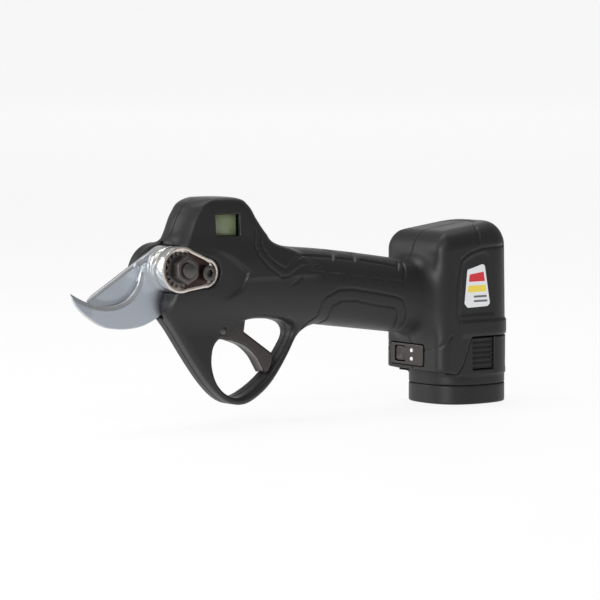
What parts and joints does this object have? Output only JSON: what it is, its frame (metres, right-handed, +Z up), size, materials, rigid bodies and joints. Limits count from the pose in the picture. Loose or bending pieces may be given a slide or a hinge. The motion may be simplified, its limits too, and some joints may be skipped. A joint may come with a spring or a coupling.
{
  "type": "battery electric pruner",
  "caption": "Cordless electric pruning shear with a curved hook blade, a gear driven moving blade, a guarded trigger and a slide-on battery that it stands on.",
  "frame": {"origin": "centre of the flat foot under the battery", "axes": "-X forward to the blades, +Z up, -Y the near side that carries the display, the pivot nut and the label"},
  "size_m": [0.2941, 0.052, 0.1226],
  "materials": {
    "shell_plastic": "fine spark-eroded texture, satin black",
    "trigger_plastic": "satin, dark brown black",
    "battery_plastic": "satin black",
    "latch_plastic": "satin black, ribbed",
    "blade_steel": "ground, satin",
    "head_alloy": "machined, bead blasted",
    "dark_steel": "blackened",
    "lock_bronze": "dark brown oxide",
    "bright_steel": "zinc plated",
    "bush_bronze": "sintered bronze",
    "case_alloy": "machined",
    "motor_steel": "black",
    "winding": "lacquered copper wire",
    "magnet": "nickel plated",
    "circuit_board": "green solder mask",
    "display_glass": "clear window over a green grey display",
    "led_white": "diffusing lens",
    "contact_plastic": "moulded, with plated blades",
    "lead_red": "silicone insulation",
    "label_film": "printed film with plain colour bars",
    "cell_wrap": "shrink wrap"
  },
  "bodies": {
    "housing": {"left_shell": "shell_plastic", "right_shell": "shell_plastic", "shell_screws": "bright_steel", "head_frame": "head_alloy", "fixed_blade": "blade_steel", "fixed_blade_screws": "bright_steel", "pivot_bolt": "dark_steel", "pivot_bush": "bush_bronze", "thrust_washer": "bright_steel", "toothed_washer": "dark_steel", "pivot_nut": "dark_steel", "lock_plate": "lock_bronze", "lock_screw": "dark_steel", "output_bearing": "bright_steel", "gearbox_case": "case_alloy", "motor_can": "motor_steel", "motor_stator": "winding", "motor_bearings": "bright_steel", "controller_board": "circuit_board", "display_board": "circuit_board", "display_lens": "display_glass", "trigger_pin": "bright_steel", "trigger_spring": "bright_steel", "trigger_sensor": "circuit_board", "switch_bezel": "shell_plastic", "status_leds": "led_white", "contact_block": "contact_plastic", "power_leads": "lead_red", "rating_label": "label_film"},
    "blade": {"moving_blade": "blade_steel", "bevel_sector": "dark_steel", "blade_rivets": "bright_steel"},
    "rotor": {"motor_shaft": "bright_steel", "rotor_magnets": "magnet", "input_sun": "dark_steel"},
    "input_stage": {"input_carrier": "case_alloy", "output_sun": "dark_steel", "input_planet_pins": "bright_steel"},
    "output_stage": {"output_carrier": "case_alloy", "bevel_pinion": "dark_steel", "output_planet_pins": "bright_steel"},
    "planet_in_a": {"input_planet_a": "dark_steel"},
    "planet_in_b": {"input_planet_b": "dark_steel"},
    "planet_in_c": {"input_planet_c": "dark_steel"},
    "planet_out_a": {"output_planet_a": "dark_steel"},
    "planet_out_b": {"output_planet_b": "dark_steel"},
    "planet_out_c": {"output_planet_c": "dark_steel"},
    "trigger": {"trigger": "trigger_plastic", "trigger_magnet": "magnet"},
    "power_button": {"power_button": "shell_plastic"},
    "battery": {"battery_case": "battery_plastic", "battery_bottom_cap": "battery_plastic", "battery_cells": "cell_wrap", "battery_board": "circuit_board", "battery_screws": "bright_steel", "latch_springs": "bright_steel"},
    "latch_left": {"latch_left": "latch_plastic"},
    "latch_right": {"latch_right": "latch_plastic"}
  },
  "joints": [
    {"name": "rotor_spin", "type": "hinge", "parent": "housing", "child": "rotor", "pos_m": [-0.207, 0, 0.085], "axis": [-0.9907, 0, 0.1357], "range_deg": [0, 3037.5]},
    {"name": "input_stage_spin", "type": "hinge", "parent": "housing", "child": "input_stage", "pos_m": [-0.207, 0, 0.085], "axis": [-0.9907, 0, 0.1357], "range_deg": [0, 675.5]},
    {"name": "output_stage_spin", "type": "hinge", "parent": "housing", "child": "output_stage", "pos_m": [-0.207, 0, 0.085], "axis": [-0.9907, 0, 0.1357], "range_deg": [0, 150.5]},
    {"name": "planet_in_a_spin", "type": "hinge", "parent": "input_stage", "child": "planet_in_a", "pos_m": [-0.15361, 0, 0.06951], "axis": [-0.9907, 0, 0.1357], "range_deg": [-1891, 0]},
    {"name": "planet_in_b_spin", "type": "hinge", "parent": "input_stage", "child": "planet_in_b", "pos_m": [-0.15196, 0.00702, 0.08155], "axis": [-0.9907, 0, 0.1357], "range_deg": [-1891, 0]},
    {"name": "planet_in_c_spin", "type": "hinge", "parent": "input_stage", "child": "planet_in_c", "pos_m": [-0.15196, -0.00702, 0.08155], "axis": [-0.9907, 0, 0.1357], "range_deg": [-1891, 0]},
    {"name": "planet_out_a_spin", "type": "hinge", "parent": "output_stage", "child": "planet_out_a", "pos_m": [-0.16649, 0, 0.07128], "axis": [-0.9907, 0, 0.1357], "range_deg": [-421, 0]},
    {"name": "planet_out_b_spin", "type": "hinge", "parent": "output_stage", "child": "planet_out_b", "pos_m": [-0.16484, 0.00702, 0.08331], "axis": [-0.9907, 0, 0.1357], "range_deg": [-421, 0]},
    {"name": "planet_out_c_spin", "type": "hinge", "parent": "output_stage", "child": "planet_out_c", "pos_m": [-0.16484, -0.00702, 0.08331], "axis": [-0.9907, 0, 0.1357], "range_deg": [-421, 0]},
    {"name": "blade_pivot", "type": "hinge", "parent": "housing", "child": "blade", "pos_m": [-0.207, 0, 0.085], "axis": [0, 1, 0], "range_deg": [0, 50.1]},
    {"name": "trigger_pull", "type": "hinge", "parent": "housing", "child": "trigger", "pos_m": [-0.174, 0, 0.05], "axis": [0, -1, 0], "range_deg": [0, 16], "stiffness_Nm_per_rad": 0.25, "springref_deg": -11.46},
    {"name": "power_button_press", "type": "slide", "parent": "housing", "child": "power_button", "axis": [1, 0, 0], "range_m": [0, 0.0012], "stiffness_N_per_m": 900, "springref_m": -0.001},
    {"name": "battery_slide", "type": "slide", "parent": "housing", "child": "battery", "axis": [0, 0, -1], "range_m": [0, 0.07]},
    {"name": "latch_left_press", "type": "slide", "parent": "battery", "child": "latch_left", "axis": [0, 1, 0], "range_m": [0, 0.0008], "stiffness_N_per_m": 1500, "springref_m": -0.001},
    {"name": "latch_right_press", "type": "slide", "parent": "battery", "child": "latch_right", "axis": [0, -1, 0], "range_m": [0, 0.0008], "stiffness_N_per_m": 1500, "springref_m": -0.001}
  ],
  "couplings": [
    {"joint": "input_stage_spin", "follows": "rotor_spin", "ratio": 0.22222},
    {"joint": "output_stage_spin", "follows": "rotor_spin", "ratio": 0.049383},
    {"joint": "planet_in_a_spin", "follows": "rotor_spin", "ratio": -0.62222},
    {"joint": "planet_in_b_spin", "follows": "rotor_spin", "ratio": -0.62222},
    {"joint": "planet_in_c_spin", "follows": "rotor_spin", "ratio": -0.62222},
    {"joint": "planet_out_a_spin", "follows": "rotor_spin", "ratio": -0.13827},
    {"joint": "planet_out_b_spin", "follows": "rotor_spin", "ratio": -0.13827},
    {"joint": "planet_out_c_spin", "follows": "rotor_spin", "ratio": -0.13827},
    {"joint": "blade_pivot", "follows": "rotor_spin", "ratio": 0.016461}
  ]
}
